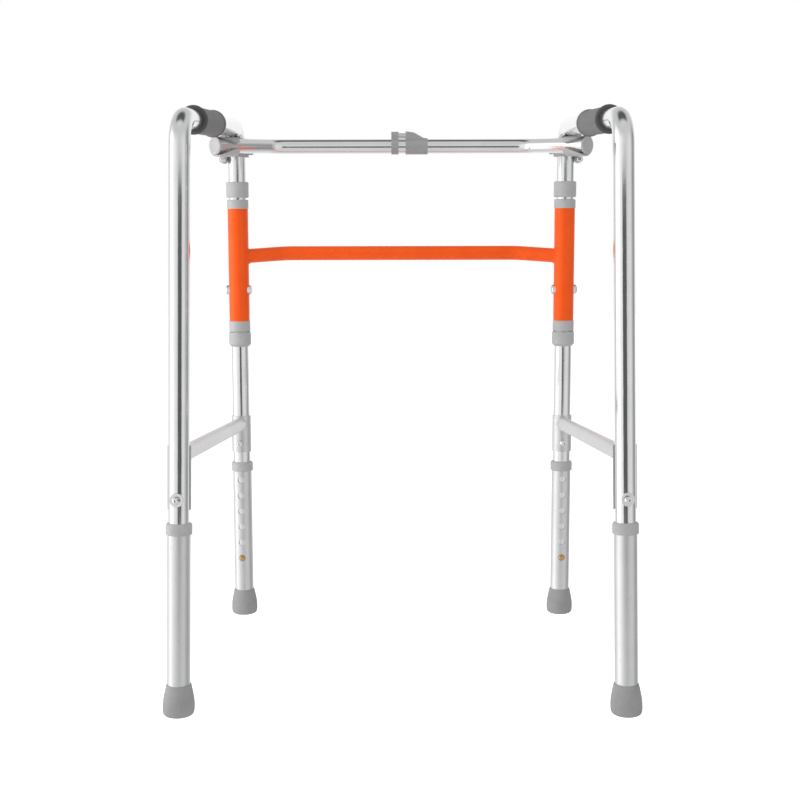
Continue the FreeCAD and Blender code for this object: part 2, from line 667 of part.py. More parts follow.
def guide_rod():
    start = n("ring_end") - n("release_width") + 2.05
    rod = revolved("guide_rod_body", [
        (0, 0), (D["rod_radius"], 0), (D["rod_radius"], 22.2), (D["rod_radius"] - 0.8, 23.0), (0, 23.0)])
    turn = FreeCAD.Rotation(V(0, 0, 1), V(1, 0, 0))
    finish(rod, "guide_rod", FreeCAD.Placement(bar_axis(start) + V(0, 0, n("rod_height")), turn))


def release_slider():
    # a sleeve round the crossbar with a ramped hump on top, bored for the guide rod
    x0, length = n("slider_start"), n("slider_length")
    turn = FreeCAD.Rotation(V(0, 0, 1), V(1, 0, 0))
    tube = cylinder("slider_tube", D["release_radius"], length, FreeCAD.Placement(bar_axis(x0), turn))
    hump = new_body("slider_hump")
    sk = sketch_in(hump, "XZ_Plane", "slider_hump_side")
    high = D["rod_height"] + D["rod_radius"] + 2.2
    polygon(sk, [(0, 0), (D["slider_length"] - 1.5, 0), (D["slider_length"] - 1.0, D["release_radius"] - 0.4),
                 (D["slider_length"] - 6.0, D["release_radius"] + 0.2), (13.0, high - 1.8),
                 (5.0, high - 0.3), (0, high)])
    pad = hump.newObject("PartDesign::Pad", "slider_hump_pad")
    pad.Profile = sk
    pad.Length = 13.0
    pad.Midplane = True
    hump.Placement = FreeCAD.Placement(bar_axis(x0), FreeCAD.Rotation())
    tools = [cylinder("slider_bar_bore", D["bar_radius"] + D["running_gap"], 100,
                      FreeCAD.Placement(bar_axis(x0 - 20), turn)),
             cylinder("slider_rod_bore", D["rod_radius"] + D["running_gap"], 14.4,
                      FreeCAD.Placement(bar_axis(x0 - 2.0) + V(0, 0, n("rod_height")), turn))]
    finish(cut("release_slider", fuse("release_slider_whole", [tube, hump]),
               fuse("release_slider_tools", tools)), "release_slider")


# ---- the whole frame -----------------------------------------------------------------------------

upper_crossbar()
lower_crossbar()
for side, s in (("left", -1), ("right", 1)):
    sleeve(s, side + "_sleeve")
    hinge_block(s, side)
    hinge_cap(s, side)
bushes("top_bushes", D["sleeve_high"], D["top_bush_high"], -1)
bushes("bottom_bushes", D["bottom_bush_low"], D["sleeve_low"], 1)
sleeve_studs()
hinge_bolts()
release_collar()
guide_rod()
release_slider()
for side, s in (("left", -1), ("right", 1)):
    side_tube(s, side + "_side_tube")
    grip(s, side + "_grip")
    leg_ring(s, side + "_upper_ring", D["upper_ring_low"], D["upper_ring_high"], 1.2)
    leg_ring(s, side + "_lower_ring", D["lower_ring_low"], D["lower_ring_high"], 3.4)
    brace(s, side + "_brace")
    brace_fasteners(s, side)
    snap_spring(s, side)
    for end in ("front", "rear"):
        name = "%s_%s_" % (side, end)
        outer_tube(s, end, name + "leg_tube")
        leg_collar(s, end, name + "collar")
        foot(s, end, name + "foot")
        foot_disc(s, end, name + "foot_disc")
        snap_button(s, end, name + "snap_button")

doc.recompute()
for obj in doc.Objects:
    if "Invalid" in obj.State or "Error" in obj.State:
        raise RuntimeError("feature failed: %s %s" % (obj.Name, obj.State))
os.makedirs("parts", exist_ok=True)
for obj in subparts:
    if obj.Shape.isNull() or not obj.Shape.isValid():
        raise RuntimeError("bad shape: " + obj.Label)
    obj.Shape.exportStep("parts/%s.step" % obj.Label)
print(len(subparts), "sub-parts written")
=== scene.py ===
import math

import bmesh
import bpy
from mathutils import Matrix, Vector


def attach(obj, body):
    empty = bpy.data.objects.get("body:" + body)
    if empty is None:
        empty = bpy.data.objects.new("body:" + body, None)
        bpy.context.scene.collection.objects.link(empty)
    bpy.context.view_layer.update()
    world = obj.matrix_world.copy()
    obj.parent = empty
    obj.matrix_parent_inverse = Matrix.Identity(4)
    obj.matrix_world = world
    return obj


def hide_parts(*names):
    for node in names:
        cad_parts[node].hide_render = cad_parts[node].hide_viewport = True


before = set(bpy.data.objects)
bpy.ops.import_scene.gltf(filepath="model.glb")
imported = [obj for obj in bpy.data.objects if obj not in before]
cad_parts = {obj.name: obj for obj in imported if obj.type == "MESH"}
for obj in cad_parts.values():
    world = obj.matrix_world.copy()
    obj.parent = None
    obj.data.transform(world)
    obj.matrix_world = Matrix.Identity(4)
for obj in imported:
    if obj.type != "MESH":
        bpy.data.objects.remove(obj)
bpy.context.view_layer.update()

scene = bpy.context.scene
scene.view_settings.view_transform = "Standard"
sides = {"left": -1, "right": 1}
legs = {  # where each leg's line starts on the floor, and where it is 0.7 m up
    "left_front": ((-0.241, 0.2036, 0.0), (-0.241, 0.2036, 0.7)),
    "right_front": ((0.241, 0.2036, 0.0), (0.241, 0.2036, 0.7)),
    "left_rear": ((-0.2713, -0.2233, 0.0), (-0.2584, -0.1964, 0.7)),
    "right_rear": ((0.2713, -0.2233, 0.0), (0.2584, -0.1964, 0.7)),
}
handle = {  # the line of a right-hand handle, from its front corner to its rear one
    "front": (0.241, 0.2036, 0.7285), "rear": (0.25818, -0.19594, 0.7119),
}
print("frame loaded:", len(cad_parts), "nodes")


# shader groups

def makeGroup(name, inputs, outputs):
    group = bpy.data.node_groups.new(name, "ShaderNodeTree")
    for label, kind, start in inputs:
        socket = group.interface.new_socket(label, in_out="INPUT", socket_type=kind)
        if start is not None:
            socket.default_value = start
    for label, kind in outputs:
        group.interface.new_socket(label, in_out="OUTPUT", socket_type=kind)
    return group, group.nodes.new("NodeGroupInput"), group.nodes.new("NodeGroupOutput")


def noiseNode(tree, vector, scale, detail, rough=0.5):
    node = tree.nodes.new("ShaderNodeTexNoise")
    node.inputs["Detail"].default_value = detail
    node.inputs["Roughness"].default_value = rough
    if isinstance(scale, (int, float)):
        node.inputs["Scale"].default_value = scale
    else:
        tree.links.new(scale, node.inputs["Scale"])
    tree.links.new(vector, node.inputs["Vector"])
    return node


def mathNode(tree, operation, first, second=None, third=None):
    node = tree.nodes.new("ShaderNodeMath")
    node.operation = operation
    for i, value in enumerate((first, second, third)):
        if value is None:
            continue
        if isinstance(value, (int, float)):
            node.inputs[i].default_value = value
        else:
            tree.links.new(value, node.inputs[i])
    return node.outputs[0]


def stretchVector(tree, vector, amounts):
    node = tree.nodes.new("ShaderNodeMapping")
    node.inputs["Scale"].default_value = amounts
    tree.links.new(vector, node.inputs["Vector"])
    return node.outputs["Vector"]


def rangeNode(tree, value, fromLow, fromHigh, toLow, toHigh):
    node = tree.nodes.new("ShaderNodeMapRange")
    node.clamp = True
    for i, number in enumerate((fromLow, fromHigh, toLow, toHigh), start=1):
        node.inputs[i].default_value = number
    tree.links.new(value, node.inputs[0])
    return node.outputs[0]


def buildDrawnLines():  # faint lengthwise lines that the tube mill leaves, with a cloudy oxide over them
    group, enter, leave = makeGroup(
        "drawnLines",
        [("Vector", "NodeSocketVector", None), ("Scale", "NodeSocketFloat", 900.0)],
        [("Lines", "NodeSocketFloat"), ("Cloud", "NodeSocketFloat"), ("Height", "NodeSocketFloat")])
    stretched = stretchVector(group, enter.outputs["Vector"], (1.0, 1.0, 0.012))
    lines = noiseNode(group, stretched, enter.outputs["Scale"], 3.0, 0.6).outputs["Fac"]
    cloud = noiseNode(group, enter.outputs["Vector"], 22.0, 4.0, 0.55).outputs["Fac"]
    pits = noiseNode(group, enter.outputs["Vector"], 1400.0, 2.0).outputs["Fac"]
    height = mathNode(group, "MULTIPLY_ADD", pits, 0.25, lines)
    group.links.new(rangeNode(group, lines, 0.3, 0.7, 0.0, 1.0), leave.inputs["Lines"])
    group.links.new(rangeNode(group, cloud, 0.35, 0.65, 0.0, 1.0), leave.inputs["Cloud"])
    group.links.new(height, leave.inputs["Height"])
    return group


def buildMouldGrain():  # the fine spark-eroded skin of a moulded part, with slow changes of tone
    group, enter, leave = makeGroup(
        "mouldGrain",
        [("Vector", "NodeSocketVector", None), ("Scale", "NodeSocketFloat", 1600.0)],
        [("Grain", "NodeSocketFloat"), ("Tone", "NodeSocketFloat"), ("Height", "NodeSocketFloat")])
    grain = noiseNode(group, enter.outputs["Vector"], enter.outputs["Scale"], 3.0, 0.6).outputs["Fac"]
    tone = noiseNode(group, enter.outputs["Vector"], 38.0, 4.0, 0.6).outputs["Fac"]
    group.links.new(rangeNode(group, grain, 0.35, 0.65, 0.0, 1.0), leave.inputs["Grain"])
    group.links.new(rangeNode(group, tone, 0.35, 0.65, 0.0, 1.0), leave.inputs["Tone"])
    group.links.new(grain, leave.inputs["Height"])
    return group


def buildScuffs():  # sparse hair scratches and rub marks
    group, enter, leave = makeGroup(
        "scuffs",
        [("Vector", "NodeSocketVector", None), ("Amount", "NodeSocketFloat", 0.5)],
        [("Mask", "NodeSocketFloat")])
    coarse = noiseNode(group, enter.outputs["Vector"], 55.0, 5.0, 0.7).outputs["Fac"]
    fine = noiseNode(group, stretchVector(group, enter.outputs["Vector"], (1.0, 1.0, 0.15)), 420.0, 4.0, 0.7)
    both = mathNode(group, "MULTIPLY", coarse, fine.outputs["Fac"])
    picked = rangeNode(group, both, 0.32, 0.42, 0.0, 1.0)
    group.links.new(mathNode(group, "MULTIPLY", picked, enter.outputs["Amount"]), leave.inputs["Mask"])
    return group


drawnLines = buildDrawnLines()
mouldGrain = buildMouldGrain()
scuffs = buildScuffs()


def groupNode(tree, group, vector, **values):
    node = tree.nodes.new("ShaderNodeGroup")
    node.node_tree = group
    tree.links.new(vector, node.inputs["Vector"])
    for label, value in values.items():
        node.inputs[label].default_value = value
    return node


def mixColours(tree, factor, first, second):
    node = tree.nodes.new("ShaderNodeMix")
    node.data_type = "RGBA"
    for i, colour in ((6, first), (7, second)):
        if isinstance(colour, tuple):
            node.inputs[i].default_value = (*colour, 1.0)
        else:
            tree.links.new(colour, node.inputs[i])
    tree.links.new(factor, node.inputs[0])
    return node.outputs[2]


def bumpNode(tree, height, strength, distance):
    node = tree.nodes.new("ShaderNodeBump")
    node.inputs["Strength"].default_value = strength
    node.inputs["Distance"].default_value = distance
    tree.links.new(height, node.inputs["Height"])
    return node.outputs["Normal"]


def startMaterial(name):
    material = bpy.data.materials.new(name)
    material.use_nodes = True
    tree = material.node_tree
    shader = tree.nodes["Principled BSDF"]
    where = tree.nodes.new("ShaderNodeTexCoord").outputs["Object"]
    return material, tree, shader, where


def metalFinish(name, look):
    material, tree, shader, where = startMaterial(name)
    grain = groupNode(tree, drawnLines, where, Scale=look["lineScale"])
    marks = groupNode(tree, scuffs, where, Amount=look["scuffs"])
    colour = mixColours(tree, grain.outputs["Cloud"], look["colour"], look["colourWorn"])
    colour = mixColours(tree, marks.outputs["Mask"], colour, look["scuffColour"])
    tree.links.new(colour, shader.inputs["Base Color"])
    rough = rangeNode(tree, grain.outputs["Lines"], 0.0, 1.0, look["roughness"][0], look["roughness"][1])
    rough = mathNode(tree, "MULTIPLY_ADD", marks.outputs["Mask"], look["scuffRoughness"], rough)
    tree.links.new(rough, shader.inputs["Roughness"])
    tree.links.new(bumpNode(tree, grain.outputs["Height"], look["bump"], look["depth"]),
                   shader.inputs["Normal"])
    shader.inputs["Metallic"].default_value = 1.0
    return material


def plasticFinish(name, look):
    material, tree, shader, where = startMaterial(name)
    grain = groupNode(tree, mouldGrain, where, Scale=look["grainScale"])
    marks = groupNode(tree, scuffs, where, Amount=look["scuffs"])
    colour = mixColours(tree, grain.outputs["Tone"], look["colour"], look["colourShade"])
    colour = mixColours(tree, marks.outputs["Mask"], colour, look["scuffColour"])
    tree.links.new(colour, shader.inputs["Base Color"])
    rough = rangeNode(tree, grain.outputs["Grain"], 0.0, 1.0, look["roughness"][0], look["roughness"][1])
    tree.links.new(mathNode(tree, "MULTIPLY_ADD", marks.outputs["Mask"], 0.1, rough),
                   shader.inputs["Roughness"])
    tree.links.new(bumpNode(tree, grain.outputs["Height"], look["bump"], look["depth"]),
                   shader.inputs["Normal"])
    shader.inputs["Specular Tint"].default_value = look.get("sheen", (1.0, 1.0, 1.0)) + (1.0,)
    shader.inputs["Coat Weight"].default_value = look.get("coat", 0.0)
    shader.inputs["Coat Roughness"].default_value = look.get("coatRoughness", 0.1)
    return material


def gripFinish(name, look):  # soft vinyl with a small hide-like pattern pressed into it
    material, tree, shader, where = startMaterial(name)
    cells = tree.nodes.new("ShaderNodeTexVoronoi")
    cells.feature = "DISTANCE_TO_EDGE"
    cells.inputs["Scale"].default_value = look["cellScale"]
    wobble = noiseNode(tree, where, 900.0, 2.0)
    bent = tree.nodes.new("ShaderNodeVectorMath")
    bent.operation = "MULTIPLY_ADD"
    bent.inputs[1].default_value = (look["cellWobble"],) * 3
    tree.links.new(wobble.outputs["Color"], bent.inputs[0])
    tree.links.new(where, bent.inputs[2])
    tree.links.new(bent.outputs["Vector"], cells.inputs["Vector"])
    pebble = rangeNode(tree, cells.outputs["Distance"], 0.0, look["cellEdge"], 0.0, 1.0)
    grain = groupNode(tree, mouldGrain, where, Scale=look["grainScale"])
    # the grooves of the pressed pattern take the darker crease colour: painted shade in the creases
    tone = mixColours(tree, pebble, look["crease"], look["colour"])
    tone = mixColours(tree, mathNode(tree, "MULTIPLY", grain.outputs["Tone"], 0.5), tone, look["colourShade"])
    tree.links.new(tone, shader.inputs["Base Color"])
    tree.links.new(rangeNode(tree, pebble, 0.0, 1.0, look["roughness"][1], look["roughness"][0]),
                   shader.inputs["Roughness"])
    height = mathNode(tree, "MULTIPLY_ADD", grain.outputs["Height"], 0.2, pebble)
    tree.links.new(bumpNode(tree, height, look["bump"], look["depth"]), shader.inputs["Normal"])
    shader.inputs["Specular IOR Level"].default_value = 0.4
    return material


finishes = {
    "bright_tube": metalFinish("polishedTube", {
        "colour": (0.93, 0.935, 0.94), "colourWorn": (0.88, 0.885, 0.895), "scuffColour": (0.74, 0.74, 0.75),
        "roughness": (0.09, 0.17), "scuffRoughness": 0.16, "scuffs": 0.35, "lineScale": 900.0,
        "bump": 0.06, "depth": 0.0004}),
    "satin_tube": metalFinish("satinTube", {
        "colour": (0.82, 0.825, 0.83), "colourWorn": (0.78, 0.785, 0.79), "scuffColour": (0.60, 0.60, 0.61),
        "roughness": (0.38, 0.48), "scuffRoughness": 0.10, "scuffs": 0.5, "lineScale": 1300.0,
        "bump": 0.10, "depth": 0.0004}),
    "orange_paint": plasticFinish("orangePaint", {
        "colour": (0.98, 0.104, 0.013), "colourShade": (0.93, 0.092, 0.011), "scuffColour": (0.80, 0.11, 0.02),
        "roughness": (0.26, 0.34), "scuffs": 0.25, "grainScale": 700.0, "bump": 0.05, "depth": 0.0005,
        "sheen": (1.0, 0.62, 0.20), "coat": 0.10, "coatRoughness": 0.14}),
    "light_plastic": plasticFinish("lightPlastic", {
        "colour": (0.46, 0.46, 0.46), "colourShade": (0.42, 0.42, 0.425), "scuffColour": (0.54, 0.54, 0.54),
        "roughness": (0.40, 0.52), "scuffs": 0.3, "grainScale": 1900.0, "bump": 0.10, "depth": 0.0004}),
    "mid_plastic": plasticFinish("midPlastic", {
        "colour": (0.335, 0.335, 0.335), "colourShade": (0.295, 0.295, 0.30), "scuffColour": (0.45, 0.45, 0.45),
        "roughness": (0.42, 0.55), "scuffs": 0.3, "grainScale": 1900.0, "bump": 0.12, "depth": 0.0004}),
    "grip_rubber": gripFinish("gripVinyl", {
        # crease: painted shade for the grooves of the pressed pattern
        "colour": (0.20, 0.197, 0.197), "colourShade": (0.165, 0.163, 0.163), "crease": (0.085, 0.085, 0.085),
        "cellScale": 640.0, "cellWobble": 0.0012, "cellEdge": 0.14, "grainScale": 2600.0,
        "roughness": (0.52, 0.72), "bump": 0.5, "depth": 0.0004}),
    # the grip's end-ring finish: a much darker copy of the grip vinyl, painted shade on rings that look dark
    # only from shading
    "gripRimShade": plasticFinish("gripRimShadeVinyl", {
        "colour": (0.085, 0.085, 0.085), "colourShade": (0.07, 0.07, 0.07), "scuffColour": (0.13, 0.13, 0.13),
        "roughness": (0.45, 0.60), "scuffs": 0.4, "grainScale": 2200.0, "bump": 0.15, "depth": 0.0004}),
    "foot_rubber": plasticFinish("footRubber", {
        "colour": (0.335, 0.333, 0.333), "colourShade": (0.29, 0.288, 0.288), "scuffColour": (0.37, 0.37, 0.37),
        "roughness": (0.58, 0.74), "scuffs": 0.6, "grainScale": 1500.0, "bump": 0.2, "depth": 0.0005}),
    "chrome": metalFinish("chromePlate", {
        "colour": (0.90, 0.90, 0.91), "colourWorn": (0.84, 0.84, 0.86), "scuffColour": (0.70, 0.70, 0.72),
        "roughness": (0.04, 0.09), "scuffRoughness": 0.10, "scuffs": 0.3, "lineScale": 2400.0,
        "bump": 0.03, "depth": 0.0002}),
    "steel": metalFinish("zincSteel", {
        "colour": (0.62, 0.63, 0.65), "colourWorn": (0.50, 0.51, 0.53), "scuffColour": (0.42, 0.42, 0.43),
        "roughness": (0.24, 0.38), "scuffRoughness": 0.12, "scuffs": 0.5, "lineScale": 2000.0,
        "bump": 0.08, "depth": 0.0003}),
    "brass": metalFinish("brassPin", {
        "colour": (0.82, 0.50, 0.20), "colourWorn": (0.70, 0.40, 0.15), "scuffColour": (0.50, 0.30, 0.12),
        "roughness": (0.20, 0.32), "scuffRoughness": 0.12, "scuffs": 0.5, "lineScale": 2400.0,
        "bump": 0.06, "depth": 0.0003}),
}
nodeFinishes = {  # which finish each kept CAD node gets, by the end of its name
    "side_tube": "bright_tube", "upper_crossbar": "bright_tube", "leg_tube": "satin_tube",
    "brace": "satin_tube", "lower_crossbar": "orange_paint", "sleeve": "orange_paint",
    "upper_ring": "light_plastic", "lower_ring": "light_plastic", "collar": "light_plastic",
    "top_bushes": "light_plastic", "bottom_bushes": "light_plastic", "hinge_block": "light_plastic",
    "hinge_cap": "light_plastic", "release_collar": "mid_plastic", "release_slider": "mid_plastic",
    "grip": "grip_rubber", "foot": "foot_rubber", "foot_disc": "steel", "sleeve_studs": "chrome",
    "hinge_bolts": "chrome", "brace_bolts": "chrome", "brace_washer": "chrome", "guide_rod": "chrome",
    "brace_nuts": "steel", "snap_springs": "steel", "snap_button": "brass",
}
for nodeName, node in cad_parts.items():
    endings = [end for end in nodeFinishes if nodeName == end or nodeName.endswith("_" + end)]
    chosen = finishes[nodeFinishes[max(endings, key=len)]]
    for place in node.material_slots:
        place.material = chosen
print("finishes made:", len(finishes))


# turned and moulded pieces

def turnProfile(shape, profile, closed, soften, steps):  # profile is a list of (radius, height)
    points = [shape.verts.new((radius, 0.0, height)) for radius, height in profile]
    for first, second in zip(points, points[1:] + (points[:1] if closed else [])):
        shape.edges.new((first, second))
    corners = [point for point in points if point.co.x > 1e-6 and len(point.link_edges) == 2]
    bmesh.ops.bevel(shape, geom=corners, offset=soften, offset_type="OFFSET", segments=2, profile=0.5,
                    affect="VERTICES", clamp_overlap=True, material=-1)
    bmesh.ops.spin(shape, geom=shape.verts[:] + shape.edges[:], cent=(0, 0, 0), axis=(0, 0, 1),
                   dvec=(0, 0, 0), angle=2 * math.pi, steps=steps, use_merge=True)
    bmesh.ops.remove_doubles(shape, verts=shape.verts[:], dist=1e-6)


def addPiece(name, shape, slotName, body, replaced=(), extra=None, crease=38):
    bmesh.ops.recalc_face_normals(shape, faces=shape.faces[:])
    for face in shape.faces:
        face.smooth = True
    for edge in shape.edges:
        edge.smooth = not (len(edge.link_faces) == 2 and edge.calc_face_angle(0.0) > math.radians(crease))
    mesh = bpy.data.meshes.new(name)
    shape.to_mesh(mesh)
    shape.free()
    piece = bpy.data.objects.new(name, mesh)
    scene.collection.objects.link(piece)
    mesh.materials.append(finishes[slotName])
    if extra:
        mesh.materials.append(finishes[extra])
    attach(piece, body)
    if replaced:
        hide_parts(*replaced)


def lineFrame(start, heading):  # a frame at start whose Z axis runs along heading
    turn = Vector(heading).normalized().to_track_quat("Z", "Y")
    return Matrix.Translation(start) @ turn.to_matrix().to_4x4()


grip = {  # metres along the handle from its front corner
    "start": 0.186, "end": 0.320, "bore": 0.01275, "body": 0.0160, "swell": 0.0004,
    # rimShadeZone: how far from the rear end the end rings get the painted-shade finish
    "rim": 0.0180, "groove": 0.0161, "secondRing": 0.0174, "rimShadeZone": 0.0082,
}


def makeGrip(side):
    s = sides[side]
    a, b, bore, body = grip["start"], grip["end"], grip["bore"], grip["body"]
    fat, rim = body + grip["swell"], grip["rim"]
    profile = [
        (bore, a), (rim - 0.0022, a), (rim - 0.0006, a + 0.0009), (rim, a + 0.0026), (rim - 0.0008, a + 0.0042),
        (body + 0.0004, a + 0.0058), (body, a + 0.012), (fat, a + 0.035), (fat + 0.0001, a + 0.062),
        (fat, b - 0.045), (body, b - 0.022), (body, b - 0.0082), (grip["secondRing"], b - 0.0074),
        (grip["secondRing"], b - 0.0054), (grip["groove"], b - 0.0048), (grip["groove"], b - 0.0038),
        (rim - 0.0004, b - 0.0032), (rim, b - 0.0021), (rim - 0.0004, b - 0.0010), (rim - 0.0018, b),
        (bore, b)]
    shape = bmesh.new()
    turnProfile(shape, profile, closed=True, soften=0.0003, steps=96)
    # faces of the rear end rings take the second, darker finish: painted shade
    for face in shape.faces:
        if face.calc_center_median().z > b - grip["rimShadeZone"]:
            face.material_index = 1
    corner, rear = (Vector((s * x, y, z)) for x, y, z in (handle["front"], handle["rear"]))
    heading = rear - corner
    shape.transform(lineFrame(corner, heading))
    addPiece(side + "GripSleeve", shape, "grip_rubber", side + "_side", [side + "_grip"], "gripRimShade")


foot = {
    "sole": 0.0162, "widest": 0.0194, "socket": 0.01405, "socketFloor": 0.008, "rimRadius": 0.0152,
    "height": 0.038, "treadDepth": 0.0009, "treads": (0.0046, 0.0092, 0.0138),
}


def makeFoot(leg):
    start, end = (Vector(point) for point in legs[leg])
    slope = (end - start) / (end.z - start.z)
    deep = foot["treadDepth"]
    profile = [(0.0, deep)]
    for ring in foot["treads"]:
        profile += [(ring - 0.0004, deep), (ring, 0.0), (ring + 0.0022, 0.0), (ring + 0.0026, deep)]
    profile[-2:] = [(foot["sole"], 0.0)]
    profile += [
        (0.0178, 0.0010), (0.0188, 0.0028), (0.0193, 0.0060), (foot["widest"], 0.0105), (0.0192, 0.0150),
        (0.01895, 0.0180), (0.0185, 0.0210), (0.0174, 0.0270), (0.0161, 0.0330), (0.01545, 0.0358),
        (foot["rimRadius"] + 0.0001, 0.0366), (foot["rimRadius"] - 0.0004, 0.0376),
        (foot["socket"] + 0.0003, foot["height"]), (foot["socket"], foot["height"] - 0.0003),
        (foot["socket"], foot["socketFloor"]), (0.0, foot["socketFloor"])]
    shape = bmesh.new()
    turnProfile(shape, profile, closed=False, soften=0.0002, steps=72)
    for vert in shape.verts:
        vert.co += slope * vert.co.z - Vector((0, 0, vert.co.z))
    shape.transform(Matrix.Translation(start))
    addPiece(leg + "_rubberTip", shape, "foot_rubber", leg + "_leg", [leg + "_foot"])


crossbar = {  # its turned-back ends pass the leg at this distance, at this angle
    "offset": 0.0265, "angle": 50.0, "out": 0.0646, "middleY": 0.2276, "middleZ": 0.7036, "tilt": 2.7,
}
capDisc = {"radius": 0.0120, "thick": 0.0030, "plug": 0.00922, "plugDepth": 0.0120, "seat": 0.00005}


def armPoint(side, reach):
    s, angle, offset = sides[side], math.radians(crossbar["angle"]), crossbar["offset"]
    legX, legY, legZ = handle["front"]
    near = Vector((s * (legX - math.sin(angle) * offset), legY - math.cos(angle) * offset))
    point = near + Vector((s * math.cos(angle), -math.sin(angle))) * reach
    rise = (point.y - crossbar["middleY"]) * math.tan(math.radians(crossbar["tilt"]))
    return Vector((point.x, point.y, crossbar["middleZ"] + rise))


def makeCap(side):
    r, t, plug, deep, seat = (capDisc[key] for key in ("radius", "thick", "plug", "plugDepth", "seat"))
    profile = [
        (0.0, t - 0.0005), (r - 0.0042, t - 0.0004), (r - 0.0034, t), (r - 0.0009, t), (r, t - 0.0009),
        (r, seat), (plug, seat), (plug, 0.0008 - deep), (plug - 0.0008, -deep), (0.0, -deep)]
    shape = bmesh.new()
    turnProfile(shape, profile, closed=False, soften=0.0002, steps=64)
    a, b = armPoint(side, 0.0), armPoint(side, crossbar["out"])
    shape.transform(lineFrame(b, b - a))
    addPiece(side + "EndDisc", shape, "light_plastic", "front_frame", [side + "_hinge_cap"])


weld = {  # the lower bar runs from the sleeve's axis to its first bend
    "sleeveAxis": (0.241, 0.2036, 0.542), "bend": (0.172, 0.2276), "tilt": 10.6,
    "bead": 0.0013, "ripple": 0.00016, "ripples": 34, "ring": 0.0107, "sleeveRadius": 0.0150,
}


def makeWeld(side):
    s = sides[side]
    (axisX, axisY, axisZ), (bendX, bendY) = weld["sleeveAxis"], weld["bend"]
    start = Vector((s * axisX, axisY, axisZ))
    rise = (bendY - axisY) * math.tan(math.radians(weld["tilt"]))
    heading = Vector((s * bendX, bendY, axisZ + rise)) - start
    heading.normalize()
    across = heading.cross(Vector((0, 0, 1))).normalized()
    shape = bmesh.new()
    bmesh.ops.create_circle(shape, segments=10, radius=weld["bead"])
    shape.transform(Matrix.Translation((weld["ring"], 0, 0)) @ Matrix.Rotation(math.pi / 2, 4, "X"))
    bmesh.ops.spin(shape, geom=shape.verts[:] + shape.edges[:], cent=(0, 0, 0), axis=(0, 0, 1),
                   dvec=(0, 0, 0), angle=2 * math.pi, steps=136, use_merge=True)
    for vert in shape.verts:  # small waves round the bead, as a weld leaves
        turn = math.atan2(vert.co.y, vert.co.x)
        middle = Vector((math.cos(turn), math.sin(turn), 0)) * weld["ring"]
        swell = 1 + math.sin(turn * weld["ripples"]) * weld["ripple"] / weld["bead"]
        vert.co = middle + (vert.co - middle) * swell
    shape.transform(lineFrame(start, heading))
    for vert in shape.verts:
        aside = (vert.co - start).dot(across)
        vert.co += heading * math.sqrt(max(weld["sleeveRadius"] ** 2 - aside ** 2, 0.0))
    addPiece(side + "WeldBead", shape, "orange_paint", "front_frame")


for side in sides:
    makeGrip(side)
    makeCap(side)
    makeWeld(side)
for leg in legs:
    makeFoot(leg)
print("turned pieces made")


# studio

studio = {
    "backdrop": 1.0, "diffuseSky": 0.64, "overhead": 0.60, "ceiling": 0.10, "front": 0.66, "ground": 0.66,
    "floorHeight": -0.1215, "paperGlow": 0.62,  # below the feet of fully extended legs
    "roomTones": [  # degrees round the room from the front, and how bright metal sees it there
        (-180, 1.0), (-150, 0.95), (-124, 0.58), (-108, 0.95), (-98, 1.5), (-70, 1.5), (-56, 0.98),
        (-36, 0.88), (-8, 0.68), (12, 0.62), (40, 0.72), (62, 0.76), (80, 0.50), (98, 0.27),
        (112, 0.34), (130, 0.70), (150, 0.90), (180, 1.0)],
    "cardLow": (-0.36, -1.40, 0.0), "cardHigh": (0.58, -1.40, 0.77), "cardTone": 0.10,
    "lights": {  # place, target, width, height, watts
        "keyLight": ((-2.3, -1.5, 1.5), (0, 0, 0.45), 2.0, 2.4, 20.0),
        "sideLight": ((-1.35, -0.1, 0.6), (0, 0, 0.45), 0.9, 1.5, 9.0),
        "fillLight": ((2.4, -1.8, 1.3), (0, 0, 0.45), 1.6, 2.0, 3.0),
        "topLight": ((0.0, -0.3, 2.6), (0, 0, 0.4), 2.4, 2.0, 8.0)},
    "cameraPlace": (-0.0024, -1.7525, 0.5832), "cameraDown": 0.130, "cameraRoll": -0.002,
    "lens": 59.1, "sensor": 36.0, "clipEnd": 60.0,
}


